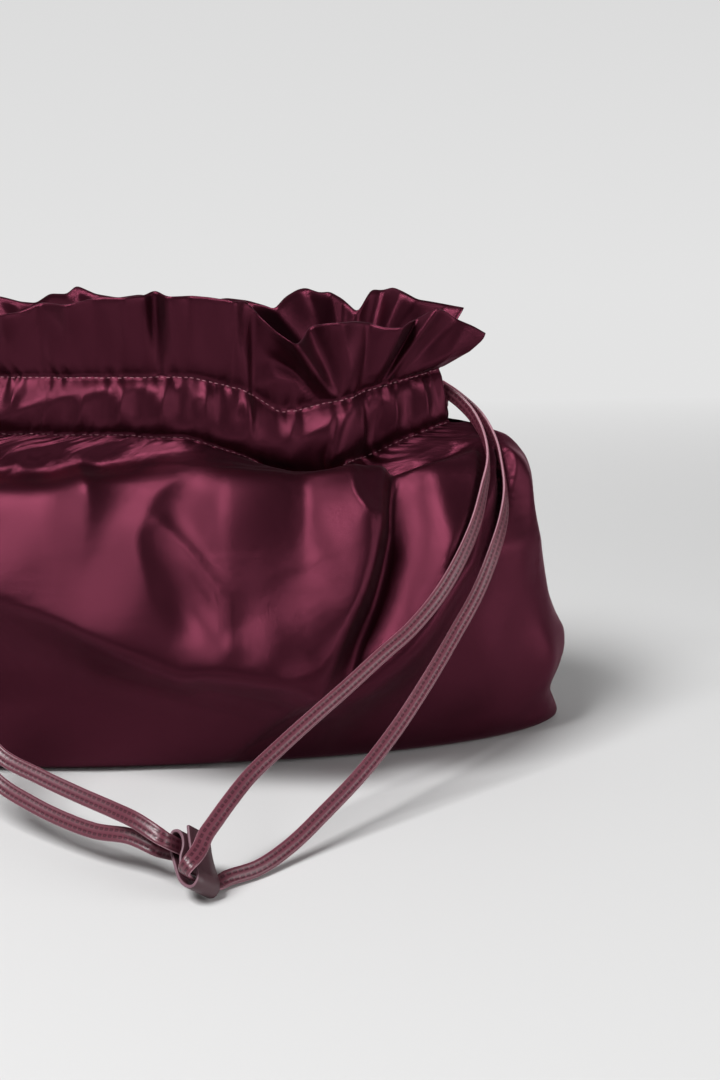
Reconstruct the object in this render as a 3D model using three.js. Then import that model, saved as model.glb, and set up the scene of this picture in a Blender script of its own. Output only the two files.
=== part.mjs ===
import * as THREE from "three";

// A kinchaku: a satin drawstring pouch with a boxed base, gathered at the neck by two flat leather
// straps that run in opposite directions through one casing and meet in front in a folded leather keeper.
// Millimetres, +Z up. X runs along the bag, the front looks to -Y, and the origin is under the middle
// of the base, on the surface that the bag stands on.

// Cloth
const CLOTH = 1.4; // one ply of a satin panel
const LINING = 1.0; // one ply of the lining
const SEAT = 0.3; // gap between pieces that touch
const HEM_DROP = 2.5; // height of hem cloth below the lower stitch row
const LINING_DROP = 3; // distance of the lining's upper edge below the hem

// The bag's outer form, as cross-sections from the floor to the top edge
const BAG_LENGTH = 336; // at the belly's widest section
const BAG_DEPTH = 140; // at the deepest section
const NECK_LENGTH = 216; // of the casing, drawn half shut
const NECK_DEPTH = 50;
const RUFFLE_LENGTH = 252; // of the top edge
const RUFFLE_DEPTH = 60;
const SHOULDER_HEIGHT = 138; // where the body's cloth turns in to the neck
const CASING_DROP = 6; // from the shoulder up to the lower stitch row
const CASING_HEIGHT = 24; // between the two stitch rows
const RUFFLE_HEIGHT = 36; // from the upper stitch row to the top edge

// Body sections below the shoulder: share of the height, how much shorter and shallower than the
// bag's length and depth at each end and side, and how square the outline is
const BODY_SECTIONS = [
  { height: 0, shorter: 11, shallower: 21, square: 2.3 },
  { height: 4 / 138, shorter: 4, shallower: 14, square: 2.2 },
  { height: 16 / 138, shorter: 3, shallower: 8, square: 2.2 },
  { height: 36 / 138, shorter: 0, shallower: 2, square: 2.25 },
  { height: 56 / 138, shorter: 7, shallower: 0, square: 2.3 },
  { height: 79 / 138, shorter: 14, shallower: 5, square: 2.4 },
  { height: 102 / 138, shorter: 19, shallower: 14, square: 2.4 },
  { height: 121 / 138, shorter: 22, shallower: 25, square: 2.35 },
  { height: 131 / 138, shorter: 29, shallower: 33, square: 2.2 },
  { height: 1, shorter: 40, shallower: 39, square: 2.1 },
];

// Gathers of the ruffle and of the cloth under the casing
const RUFFLE_WAVES = 8; // folds along one panel
const RUFFLE_WAVE = 6; // their depth at the top edge, to each side
const SHOULDER_WAVE = 2; // their depth under the casing, to each side

// Straps and their casing
const STRAP_WIDTH = 6;
const STRAP_THICKNESS = 1.6;
const STRAP_CHAMFER = 0.4;
const STRAP_PLAY = 0.8; // room on each face of a strap inside the casing
const STRAPS_GAP = 0.72; // between the two straps, one above the other in the casing
const JOIN_GAP = 0.3; // between a strap's two butted ends, in the middle of the front casing
const OPENING_ANGLE = 0.4; // radians of the outline left open at each side of the casing

// Keeper
const KEEPER_PLACE = [-21, -186, 7.7]; // lowest point of its near rim
const KEEPER_WIDTH = 12; // of the leather strip
const KEEPER_THICKNESS = 1.2;
const KEEPER_HEADING = 33.7; // degrees from +X to its axis, seen from above
const KEEPER_TILT = 37.6; // degrees that the axis dips

// Middle line of the folded strip across its axis: a free tab, the lobe that holds the right strap,
// and the lobe that holds the left strap. It is drawn for this width of strap and grows with it.
const KEEPER_FITS = 6;
const KEEPER_LINE = [
  [15.6, 19], [12.4, 15.9], [8.9, 12.8], [5.5, 10.3], [2.5, 8.3], [-0.4, 6.5], [-2.1, 4.3], [-1.9, 1.9],
  [0.2, 0.6], [5.3, 1.0], [11.3, 4.4], [17.5, 8.7], [20.6, 11.7], [21.5, 14.4], [19.2, 15.7],
  [15.6, 14.7], [12.7, 11.8], [11.3, 8.3], [8.4, 4.9],
];

// Free runs of the straps, chosen by hand. Each point is a place and the direction of the strap's width.
const RIGHT_NEAR = [
  [103.5, -6.2, 158.5, 0, 0, 1], [110, -11, 153.5, 0.1, -0.1, 1], [115, -17.5, 147.5, 0.1, -0.3, 0.9],
  [118.5, -26.5, 138.7, -0.1, -0.5, 0.8],
  [118.2, -37, 129.7, -0.2, -0.4, 0.8], [114, -48, 119.4, -0.4, -0.2, 0.8], [108.4, -59, 107.7, -0.5, 0, 0.8],
  [99.5, -71, 95, -0.6, 0.1, 0.7], [88.5, -82, 82.6, -0.65, 0.2, 0.7], [74.8, -93, 71.6, -0.65, 0.3, 0.7],
  [60.4, -103, 63.4, -0.6, 0.3, 0.7], [44.7, -114, 54.2, -0.6, 0.3, 0.7], [30.3, -125, 46.7, -0.6, 0.3, 0.7],
  [16.7, -137, 40, -0.65, 0.3, 0.7], [3.9, -150, 33.8, -0.7, 0.3, 0.7], [-4.5, -161, 28.6, -0.7, 0.3, 0.65],
  [-10, -168.5, 24.6, -0.75, 0.3, 0.6], [-13.8, -173.7, 21.6, -0.76, 0.36, 0.56],
];
const RIGHT_FAR = [
  [-6, -171.5, 3.6, -0.45, 0.5, 0.7], [5.3, -165, 3.7, -0.4, 0.4, 0.8], [18.2, -154, 6.6, -0.6, 0.4, 0.7],
  [33, -141, 13.8, -0.7, 0.4, 0.7], [49.3, -127, 23.3, -0.7, 0.3, 0.6], [65.6, -112, 35.7, -0.75, 0.3, 0.6],
  [80.8, -98, 50.6, -0.75, 0.3, 0.6], [94.7, -84, 65.6, -0.75, 0.25, 0.6], [107.1, -71, 79.8, -0.7, 0.2, 0.7],
  [116.5, -59, 94.2, -0.6, 0.1, 0.75], [122.9, -48, 105.8, -0.5, -0.1, 0.8], [126.1, -38, 116, -0.3, -0.3, 0.8],
  [126.4, -28.5, 126.5, -0.2, -0.4, 0.8], [125, -19, 136, 0, -0.4, 0.8], [120.5, -7.5, 145.5, 0.1, -0.2, 0.9],
  [112, 2, 153.5, 0, 0, 1], [104.5, 5.5, 158.5, 0, 0, 1],
];
const LEFT_NEAR = [
  [-103.5, -6.2, 151.2, 0, 0, 1], [-110.5, -11, 149, 0, -0.1, 1], [-117, -18, 145, 0, -0.3, 0.9],
  [-122.5, -28.5, 137, 0.1, -0.4, 0.8],
  [-125, -40, 125, 0.2, -0.4, 0.8], [-124, -54, 110, 0.4, -0.2, 0.8], [-121, -68, 92, 0.5, 0.1, 0.8],
  [-115, -82, 72, 0.5, 0.2, 0.8], [-107, -94, 54, 0.5, 0.3, 0.8], [-99, -104, 41, 0.5, 0.4, 0.8],
  [-90.5, -113, 33, 0.5, 0.4, 0.8], [-74.5, -127, 28.7, 0.5, 0.4, 0.8], [-59.1, -141, 26, 0.5, 0.4, 0.8],
  [-46.1, -154, 24.7, 0.5, 0.4, 0.8], [-38, -164, 24.3, 0.5, 0.35, 0.8],
];
const LEFT_FAR = [
  [-40.5, -157.5, 15.6, 0.4, 0.4, 0.85], [-53.8, -147, 14, 0.4, 0.4, 0.8], [-67.2, -135, 14.8, 0.4, 0.4, 0.8],
  [-79, -124, 17, 0.5, 0.4, 0.8], [-91.2, -112, 20.6, 0.5, 0.4, 0.8], [-103, -100, 29, 0.5, 0.4, 0.8],
  [-113, -88, 43, 0.5, 0.3, 0.8], [-121, -75, 62, 0.5, 0.2, 0.8], [-127, -61, 83, 0.5, 0, 0.8],
  [-130.8, -48, 103, 0.4, -0.2, 0.8], [-131.8, -36, 120.5, 0.2, -0.4, 0.8], [-131, -24.5, 134, 0.1, -0.4, 0.8],
  [-124.5, -10.5, 143.5, 0, -0.3, 0.9], [-112.5, 1.5, 149.5, 0, 0, 1],
];

// Where the straps' loops pass the keeper, in its own frame: along its axis, back from its front and
// up, with the direction of the strap's width
const RIGHT_IN_KEEPER = [
  [0.2, 4, 14.4, -0.6, 0.7, 0.25], [-2.6, 1.4, 10.6, -0.5, 0.8, 0.3], [-4.4, 0.6, 7.2, -0.3, 0.9, 0.25],
  [-3.4, 2, 4.9, -0.1, 1, 0.1], [0, 3.3, 3.9, 0, 1, 0], [6, 3.5, 3.7, 0, 1, 0],
  [11.5, 3.5, 4.1, 0, 1, 0.1], [15.5, 3.9, 5.8, -0.2, 0.9, 0.4],
];
const LEFT_IN_KEEPER = [
  [-7, 15.8, 11, 0, 0.45, 0.9], [0, 15.6, 11, 0, 0.55, 0.83], [6, 15.6, 11, 0, 0.55, 0.83],
  [12, 15.7, 11, 0, 0.55, 0.83], [16, 17.4, 10.7, 0, 0.4, 0.9], [17.3, 20.4, 10.1, 0, 0.2, 1],
  [15.8, 23.4, 9.4, 0, 0.1, 1], [11.5, 24.8, 8.6, 0, 0, 1], [6, 24.6, 7.6, 0, 0, 1], [0, 23.7, 6.8, 0, 0, 1],
];

// Fineness of the surfaces
const PANEL_STEPS = 36; // facets along a panel and its lining
const CASING_STEPS = 9; // steps of a strap's line along each half of the casing
const KEEPER_STEPS = 44;

// Sections of the whole wall, each at its own height
const stitchLow = SHOULDER_HEIGHT + CASING_DROP;
const stitchHigh = stitchLow + CASING_HEIGHT;
const topEdge = stitchHigh + RUFFLE_HEIGHT;
const neckLow = { halfLength: NECK_LENGTH / 2 + 4, halfDepth: NECK_DEPTH / 2 + 2, square: 2 };
const neck = { halfLength: NECK_LENGTH / 2, halfDepth: NECK_DEPTH / 2, square: 2 };
const ruffle = { halfLength: RUFFLE_LENGTH / 2, halfDepth: RUFFLE_DEPTH / 2, square: 2.1 };
const SECTIONS = BODY_SECTIONS.map((s) => ({
  z: s.height * SHOULDER_HEIGHT,
  halfLength: BAG_LENGTH / 2 - s.shorter,
  halfDepth: BAG_DEPTH / 2 - s.shallower,
  square: s.square,
}));
SECTIONS.push({ z: stitchLow, ...neckLow });
SECTIONS.push({ z: (stitchLow + stitchHigh) / 2, ...neck });
SECTIONS.push({ z: stitchHigh, ...neck });
SECTIONS.push({
  z: stitchHigh + RUFFLE_HEIGHT / 2,
  halfLength: (neck.halfLength + ruffle.halfLength) / 2,
  halfDepth: (neck.halfDepth + ruffle.halfDepth) / 2,
  square: neck.square,
});
SECTIONS.push({ z: topEdge, ...ruffle });
const SHOULDER = BODY_SECTIONS.length - 1; // levels of the named sections, counted from the floor
const LOW_ROW = SHOULDER + 1;
const HIGH_ROW = LOW_ROW + 2;
const TOP = HIGH_ROW + 2;

const sizes = new THREE.CatmullRomCurve3(
  SECTIONS.map((s) => new THREE.Vector3(s.halfLength, s.halfDepth, s.z)), false, "catmullrom", 0.5);

// Length, depth, height and squareness of the outline at a level between two sections
function outlineAt(level) {
  const l = THREE.MathUtils.clamp(level, 0, TOP);
  const size = sizes.getPoint(l / TOP);
  const below = Math.min(Math.floor(l), TOP - 1);
  const square = THREE.MathUtils.lerp(SECTIONS[below].square, SECTIONS[below + 1].square, l - below);
  return { halfLength: size.x, halfDepth: size.y, z: size.z, square };
}

// The level at a height, found by halving
function levelAt(z) {
  let [low, high] = [0, TOP];
  for (let i = 0; i < 40; i++) {
    const middle = (low + high) / 2;
    if (outlineAt(middle).z < z) low = middle;
    else high = middle;
  }
  return low;
}

// Gathers: how far the cloth stands out from the plain wall, none at the side seams and stitch rows
function gather(u, level) {
  const inRuffle = Math.max(0, (level - HIGH_ROW) / (TOP - HIGH_ROW));
  const belowCasing = Math.max(0, 1 - Math.abs(level - (SHOULDER - 1)) / 1.6);
  const depth = RUFFLE_WAVE * inRuffle + SHOULDER_WAVE * belowCasing;
  const fade = Math.min(1, (1 - Math.abs(u)) * 8);
  return depth * fade * Math.sin(Math.PI * (RUFFLE_WAVES * u + 0.45 * Math.sin(5 * u)));
}

// Half of the side opening in the outline, from none at the shoulder to its full angle at the casing
function openAngle(level) {
  return OPENING_ANGLE * THREE.MathUtils.smoothstep(level, SHOULDER - 0.4, LOW_ROW + 0.2);
}

// A point of the plain outer wall: u runs from -1 at the left side seam to 1 at the right one, and
// level from -1 at the base's seam through 0 at the base's edge to TOP. side is -1 in front, 1 behind.
function wallPoint(side, u, level) {
  const o = outlineAt(level);
  const angle = (Math.PI / 2) * (1 - u) + u * openAngle(level);
  const c = Math.cos(angle);
  const s = Math.max(0, Math.sin(angle));
  const x = o.halfLength * Math.sign(c) * Math.abs(c) ** (2 / o.square);
  const y = o.halfDepth * s ** (2 / o.square);
  if (level >= 0) return new THREE.Vector3(x, side * (y + SEAT / 2), o.z);
  const inner = (o.halfLength - o.halfDepth) / o.halfLength;
  const out = 1 + level;
  return new THREE.Vector3(x * THREE.MathUtils.lerp(inner, 1, out), side * (y * out + SEAT / 2), 0);
}

// Direction out of the wall, flat along the seam planes so that the seams meet face to face
function wallNormal(side, u, level) {
  if (level < -0.5) return new THREE.Vector3(0, 0, -1);
  const du = 0.004;
  const dl = 0.2;
  const along = wallPoint(side, Math.min(1, u + du), level).sub(wallPoint(side, Math.max(-1, u - du), level));
  const up = wallPoint(side, u, Math.min(TOP, level + dl)).sub(wallPoint(side, u, Math.max(-1, level - dl)));
  const normal = new THREE.Vector3().crossVectors(along, up).multiplyScalar(-side).normalize();
  if (Math.abs(u) > 0.999 && level < SHOULDER - 0.4) normal.setY(0).normalize();
  return normal;
}

// A point of the cloth at a distance in from its outer face
function clothPoint(side, u, level, inward) {
  const normal = wallNormal(side, u, level);
  return wallPoint(side, u, level).addScaledVector(normal, gather(u, level) - inward);
}

// Bends a straight extrusion: each vertex goes where place(x, y, z) says, and faces end up facing out
function bend(geometry, place) {
  const position = geometry.getAttribute("position");
  for (let i = 0; i < position.count; i++) {
    const p = place(position.getX(i), position.getY(i), position.getZ(i));
    position.setXYZ(i, p.x, p.y, p.z);
  }
  let volume = 0;
  const corner = [0, 1, 2].map(() => new THREE.Vector3());
  for (let i = 0; i < position.count; i += 3) {
    corner.forEach((c, k) => c.fromBufferAttribute(position, i + k));
    volume += corner[0].dot(corner[1].clone().cross(corner[2]));
  }
  if (volume < 0) {
    for (let i = 0; i < position.count; i += 3) {
      const [b, c] = [i + 1, i + 2].map((k) => new THREE.Vector3().fromBufferAttribute(position, k));
      position.setXYZ(i + 1, c.x, c.y, c.z);
      position.setXYZ(i + 2, b.x, b.y, b.z);
    }
  }
  geometry.deleteAttribute("uv");
  geometry.computeVertexNormals();
  return geometry;
}

// A profile is drawn bowed, so that the triangles of its end faces each join neighbouring levels only
function bow(level) {
  return 2 * level ** 2;
}

// Sweeps a profile, drawn as distance in from the outer face against level, from one side seam to the
// other. A lining starts at the opposite seam to its panel, so that their facing surfaces are cut alike.
function sweptCloth(side, profile, start) {
  const straight = new THREE.ExtrudeGeometry(profile, { depth: 2, steps: PANEL_STEPS, bevelEnabled: false });
  return bend(straight, (drawn, level, z) => clothPoint(side, start * (1 - z), level, drawn - bow(level)));
}

// A closed outline through corner points [inward, level], with a point at each section between them
function outline(corners) {
  const points = [];
  corners.forEach(([inward, level], i) => {
    const [nextIn, nextLevel] = corners[(i + 1) % corners.length];
    const rise = Math.sign(nextLevel - level);
    points.push(new THREE.Vector2(inward + bow(level), level));
    for (let at = Math.round(level + 0.6 * rise); rise * (nextLevel - at) > 0.1; at += rise) {
      const share = (at - level) / (nextLevel - level);
      points.push(new THREE.Vector2(THREE.MathUtils.lerp(inward, nextIn, share) + bow(at), at));
    }
  });
  return points;
}

// Places of the straps up the casing, from 0 at its lower row to 1 at its upper one
const strapShift = (STRAP_WIDTH + STRAPS_GAP) / 2 / CASING_HEIGHT;
const upperStrap = 0.5 + strapShift;
const lowerStrap = 0.5 - strapShift;

const casingRoom = STRAP_THICKNESS + 2 * STRAP_PLAY;
const hemEnd = levelAt(stitchLow - HEM_DROP);
const liningTop = levelAt(stitchLow - HEM_DROP - LINING_DROP);
const rowMargin = 0.09; // levels between a stitch row and the open casing

// One satin panel: body, casing and doubled ruffle are one sheet turned over at the top edge
function panelProfile() {
  const double = 2 * CLOTH;
  const profile = new THREE.Shape(outline([
    [0, -1], [0, TOP], [double, TOP], [double, HIGH_ROW],
    [double + casingRoom, HIGH_ROW - 3 * rowMargin], [double + casingRoom, LOW_ROW + 3 * rowMargin],
    [double, LOW_ROW], [double, hemEnd], [CLOTH, hemEnd], [CLOTH, -1],
  ]));
  profile.holes.push(new THREE.Path(outline([
    [CLOTH, LOW_ROW + rowMargin], [CLOTH + casingRoom, LOW_ROW + 4 * rowMargin],
    [CLOTH + casingRoom, HIGH_ROW - 4 * rowMargin], [CLOTH, HIGH_ROW - rowMargin],
  ])));
  return profile;
}

// The lining lies against the panel, up to just under its hem
function liningProfile() {
  const outer = CLOTH + SEAT;
  return new THREE.Shape(outline([[outer, -1], [outer, liningTop], [outer + LINING, liningTop], [outer + LINING, -1]]));
}

// Frame of the keeper: its axis, and the directions back and up across it
const heading = THREE.MathUtils.degToRad(KEEPER_HEADING);
const tilt = THREE.MathUtils.degToRad(KEEPER_TILT);
const keeperAxis = new THREE.Vector3(
  Math.cos(tilt) * Math.cos(heading), Math.cos(tilt) * Math.sin(heading), -Math.sin(tilt));
const keeperBack = new THREE.Vector3(0, 0, 1).cross(keeperAxis).normalize();
const keeperUp = keeperAxis.clone().cross(keeperBack);
const keeperFrame = new THREE.Matrix4()
  .makeBasis(keeperBack, keeperUp, keeperAxis)
  .setPosition(...KEEPER_PLACE);
const keeperScale = STRAP_WIDTH / KEEPER_FITS;

// The keeper: a strip bent along its middle line and as wide as its axis is long
function keeperGeometry() {
  const points = KEEPER_LINE.map(([back, up]) => new THREE.Vector2(back, up).multiplyScalar(keeperScale));
  const line = new THREE.SplineCurve(points);
  const faces = [[], []];
  for (let i = 0; i <= KEEPER_STEPS; i++) {
    const t = i / KEEPER_STEPS;
    const middle = line.getPointAt(t);
    const along = line.getTangentAt(t);
    const across = new THREE.Vector2(-along.y, along.x).multiplyScalar(KEEPER_THICKNESS / 2);
    faces[0].push(middle.clone().add(across));
    faces[1].unshift(middle.clone().sub(across));
  }
  const section = new THREE.Shape(faces.flat());
  return new THREE.ExtrudeGeometry(section, { depth: KEEPER_WIDTH, steps: 1, bevelEnabled: false });
}

// A strap's line is a list of { at, width }: its middle and the direction of its width
function freeRun(points) {
  return points.map(([x, y, z, wx, wy, wz]) => ({
    at: new THREE.Vector3(x, y, z), width: new THREE.Vector3(wx, wy, wz) }));
}

function inKeeper(points) {
  return points.map(([along, back, up, wa, wb, wu]) => ({
    at: new THREE.Vector3(back * keeperScale, up * keeperScale, along).applyMatrix4(keeperFrame),
    width: new THREE.Vector3(wb, wu, wa).transformDirection(keeperFrame),
  }));
}

// The strap's middle in the casing, from u to u, at a share of the casing's height
function inCasing(side, from, to, share) {
  const level = THREE.MathUtils.lerp(LOW_ROW, HIGH_ROW, share);
  const steps = Math.round(Math.abs(to - from) * CASING_STEPS);
  const run = [];
  for (let i = 0; i <= steps; i++) {
    const u = THREE.MathUtils.lerp(from, to, i / steps);
    run.push({ at: clothPoint(side, u, level, CLOTH + casingRoom / 2), width: new THREE.Vector3(0, 0, 1) });
  }
  return run;
}

// Across the side opening, from the front casing to the back one or the other way
function acrossOpening(x, share) {
  const level = THREE.MathUtils.lerp(LOW_ROW, HIGH_ROW, share);
  const end = clothPoint(-1, x, level, CLOTH + casingRoom / 2);
  const reach = Math.abs(end.y) * 0.8;
  return [{ at: new THREE.Vector3(end.x + x * reach, 0, end.z), width: new THREE.Vector3(0, 0, 1) }];
}

// One strap: out of the front casing at its own side, down to the keeper and back, into the back
// casing, and round the far side to its start. out is 1 for the right strap and -1 for the left one.
function strapLine(out, share, near, atKeeper, far) {
  const join = JOIN_GAP / NECK_LENGTH;
  return [
    ...inCasing(-1, out * join, out, share),
    ...freeRun(near),
    ...inKeeper(atKeeper),
    ...freeRun(far),
    ...inCasing(1, out, -out, share),
    ...acrossOpening(-out, share),
    ...inCasing(-1, -out, -out * join, share),
  ];
}

// The stops of a strap's sweep: every point of its line, and halfway where the line bends sharply
function strapStops(line) {
  const last = line.length - 1;
  const stops = [];
  for (let i = 0; i <= last; i++) {
    stops.push(i / last);
    if (i === 0 || i >= last - 1) continue;
    const before = line[i].at.clone().sub(line[i - 1].at);
    const after = line[i + 2].at.clone().sub(line[i + 1].at);
    if (before.angleTo(after) > 0.55) stops.push((i + 0.5) / last);
  }
  return stops;
}

// A flat strap: its chamfered section is swept along the line and turned to the given widths
function strapGeometry(line) {
  const middle = new THREE.CatmullRomCurve3(line.map((p) => p.at), false, "centripetal");
  const widths = new THREE.CatmullRomCurve3(line.map((p) => p.width), false, "centripetal");
  const stops = strapStops(line);
  const [w, h, c] = [STRAP_WIDTH / 2, STRAP_THICKNESS / 2, STRAP_CHAMFER];
  const section = new THREE.Shape([
    [w - c, -h], [w, c - h], [w, h - c], [w - c, h], [c - w, h], [-w, h - c], [-w, c - h], [c - w, -h],
  ].map(([x, y]) => new THREE.Vector2(x, y)));
  const steps = stops.length - 1;
  const straight = new THREE.ExtrudeGeometry(section, { depth: steps, steps, bevelEnabled: false });
  return bend(straight, (x, y, z) => {
    const t = stops[Math.round(z)];
    const along = middle.getTangent(t);
    const width = widths.getPoint(t).projectOnPlane(along).normalize();
    const across = along.clone().cross(width);
    return middle.getPoint(t).addScaledVector(width, x).addScaledVector(across, y);
  });
}

// Materials
const satin = new THREE.MeshStandardMaterial({ color: 0x7a3449, roughness: 0.38, metalness: 0.1 });
const lining = new THREE.MeshStandardMaterial({ color: 0x5b2c3a, roughness: 0.6, metalness: 0 });
const leather = new THREE.MeshStandardMaterial({ color: 0x6e3a49, roughness: 0.45, metalness: 0 });

const pouch = new THREE.Group();

function addPiece(name, geometry, material) {
  const mesh = new THREE.Mesh(geometry, material);
  mesh.name = name;
  pouch.add(mesh);
  return mesh;
}

addPiece("front_panel", sweptCloth(-1, panelProfile(), -1), satin);
addPiece("back_panel", sweptCloth(1, panelProfile(), -1), satin);
addPiece("front_lining", sweptCloth(-1, liningProfile(), 1), lining);
addPiece("back_lining", sweptCloth(1, liningProfile(), 1), lining);

addPiece("strap_right", strapGeometry(
  strapLine(1, upperStrap, RIGHT_NEAR, RIGHT_IN_KEEPER, RIGHT_FAR)), leather);
addPiece("strap_left", strapGeometry(
  strapLine(-1, lowerStrap, LEFT_NEAR, LEFT_IN_KEEPER, LEFT_FAR)), leather);

const keeper = addPiece("keeper", keeperGeometry(), leather);
keeper.applyMatrix4(keeperFrame);

export default pouch;
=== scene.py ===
import bpy
import math
import numpy as np
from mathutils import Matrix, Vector


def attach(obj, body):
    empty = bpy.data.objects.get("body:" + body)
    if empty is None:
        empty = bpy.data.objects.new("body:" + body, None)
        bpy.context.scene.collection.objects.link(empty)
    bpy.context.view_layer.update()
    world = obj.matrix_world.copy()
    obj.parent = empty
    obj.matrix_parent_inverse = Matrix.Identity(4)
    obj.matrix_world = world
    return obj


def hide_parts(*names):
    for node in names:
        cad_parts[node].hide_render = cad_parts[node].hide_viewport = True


# A satin kinchaku pouch on a pale floor. Lengths are in millimetres and are turned into metres as the
# meshes are made. X runs along the pouch, the front looks to -Y.

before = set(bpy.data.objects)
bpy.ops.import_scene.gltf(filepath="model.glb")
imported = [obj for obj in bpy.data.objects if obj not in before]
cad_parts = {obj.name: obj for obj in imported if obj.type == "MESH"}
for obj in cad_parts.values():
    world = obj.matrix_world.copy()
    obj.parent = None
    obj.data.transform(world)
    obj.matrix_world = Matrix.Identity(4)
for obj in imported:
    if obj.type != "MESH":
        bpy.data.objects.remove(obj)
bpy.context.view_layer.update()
MM = 0.001

# Camera, at the photograph's angle
CAMERA_PLACE = (-28.5, -675.0, 245.0)
CAMERA_HEADING = 8.0
CAMERA_DIP = 13.0
CAMERA_LENS = 50.0
CAMERA_SENSOR = 36.0


def make_camera():
    data = bpy.data.cameras.new("camera")
    data.lens = CAMERA_LENS
    data.sensor_width = CAMERA_SENSOR
    camera = bpy.data.objects.new("camera", data)
    bpy.context.scene.collection.objects.link(camera)
    camera.location = Vector(CAMERA_PLACE) * MM
    camera.rotation_euler = (math.radians(90 - CAMERA_DIP), 0, math.radians(-CAMERA_HEADING))
    bpy.context.scene.camera = camera


make_camera()

# The wall's plain form, as in the CAD model: height, half length, half depth and squareness of each
# section, from the base's edge to the top edge
SECTIONS = np.array([
    (0, 157, 49, 2.3), (4, 164, 56, 2.2), (16, 165, 62, 2.2), (36, 168, 68, 2.25), (56, 161, 70, 2.3),
    (79, 154, 65, 2.4), (102, 149, 56, 2.4), (121, 146, 45, 2.35), (131, 139, 37, 2.2),
    (138, 128, 31, 2.1), (144, 112, 27, 2.0), (156, 108, 25, 2.0), (168, 108, 25, 2.0),
    (186, 117, 27.5, 2.0), (204, 126, 30, 2.1),
], float)
# Levels count these sections. The base's seam is one level below the first, and between shoulder and top
# edge come the casing's two stitch rows.
SEAM, SHOULDER, LOW_ROW, HIGH_ROW, TOP = -1, 9, 10, 12, 14
FRONT, BACK = -1, 1
OPENING_ANGLE = 0.4
OPENING_LEAD = 0.4
OPENING_LEVELS = 1.6
SEAM_GAP = 0.15
CASING_ROOM = 3.2
PLY = 1.1


def spline(points, t):
    """Catmull-Rom through rows of points, at parameters t counted in points."""
    points = np.asarray(points, float)
    last = len(points) - 1
    t = np.clip(np.asarray(t, float), 0, last)
    i = np.minimum(t.astype(int), last - 1)
    f = (t - i)[:, None]
    padded = np.vstack([2 * points[0] - points[1], points, 2 * points[-1] - points[-2]])
    a, b, c, d = padded[i], padded[i + 1], padded[i + 2], padded[i + 3]
    square_part = 2 * a - 5 * b + 4 * c - d
    cube_part = 3 * b - a - 3 * c + d
    return 0.5 * (2 * b + (c - a) * f + square_part * f ** 2 + cube_part * f ** 3)


def smooth_step(x):
    x = np.clip(x, 0, 1)
    return x * x * (3 - 2 * x)


def casing_share(level):
    """0 up to the casing's lower stitch row, 1 from its upper one."""
    return np.clip((level - LOW_ROW) / (HIGH_ROW - LOW_ROW), 0, 1)


def ruffle_share(level):
    """0 up to the upper stitch row, 1 at the top edge."""
    return np.clip((level - HIGH_ROW) / (TOP - HIGH_ROW), 0, 1)


def wall(side, u, level):
    """Points of the plain wall: u from -1 to 1 along it, level from -1 at the base's seam to TOP."""
    u, level = np.broadcast_arrays(np.asarray(u, float), np.asarray(level, float))
    size = spline(SECTIONS, np.maximum(level, 0).ravel()).reshape(level.shape + (4,))
    z, half_length, half_depth, square = np.moveaxis(size, -1, 0)
    opened = OPENING_ANGLE * smooth_step((level - SHOULDER + OPENING_LEAD) / OPENING_LEVELS)
    angle = np.pi / 2 * (1 - u) + u * opened
    c = np.cos(angle)
    s = np.maximum(0, np.sin(angle))
    x = half_length * np.sign(c) * np.abs(c) ** (2 / square)
    y = half_depth * s ** (2 / square)
    out = np.clip(1 + level, 0, 1)
    inner = (half_length - half_depth) / half_length
    x = x * (inner + (1 - inner) * out)
    y = y * out
    return np.stack([x, side * (y + SEAM_GAP), np.maximum(z, 0)], -1)


def unit(v):
    return v / np.maximum(np.linalg.norm(v, axis=-1, keepdims=True), 1e-9)


def run_along(points):
    """Distance along a line of points, from its first one."""
    return np.concatenate([[0], np.cumsum(np.linalg.norm(np.diff(points, axis=0), axis=1))])


def grid_normals(p, side):
    along = np.gradient(p, axis=1)
    up = np.gradient(p, axis=0)
    return unit(np.cross(along, up)) * -side


# Straps, routed as in the CAD model: each point is a place and the direction of the strap's width
STRAP_WIDTH = 6.0
STRAP_THICKNESS = 1.6
STITCH_ROW = 1.2
STITCH_PITCH = 2.45
RIGHT_NEAR = [
    (103.5, -6.2, 158.5, 0, 0, 1), (110, -11, 153.5, 0.1, -0.1, 1), (115, -17.5, 147.5, 0.1, -0.3, 0.9),
    (118.5, -26.5, 138.7, -0.1, -0.5, 0.8), (118.2, -37, 129.7, -0.2, -0.4, 0.8),
    (114, -48, 119.4, -0.4, -0.2, 0.8), (108.4, -59, 107.7, -0.5, 0, 0.8), (99.5, -71, 95, -0.6, 0.1, 0.7),
    (88.5, -82, 82.6, -0.65, 0.2, 0.7), (74.8, -93, 71.6, -0.65, 0.3, 0.7),
    (60.4, -103, 63.4, -0.6, 0.3, 0.7), (44.7, -114, 54.2, -0.6, 0.3, 0.7),
    (30.3, -125, 46.7, -0.6, 0.3, 0.7), (16.7, -137, 40, -0.65, 0.3, 0.7),
    (3.9, -150, 33.8, -0.7, 0.3, 0.7), (-4.5, -161, 28.6, -0.7, 0.3, 0.65),
    (-10, -168.5, 24.6, -0.75, 0.3, 0.6), (-13.8, -173.7, 21.6, -0.76, 0.36, 0.56),
]
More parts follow.
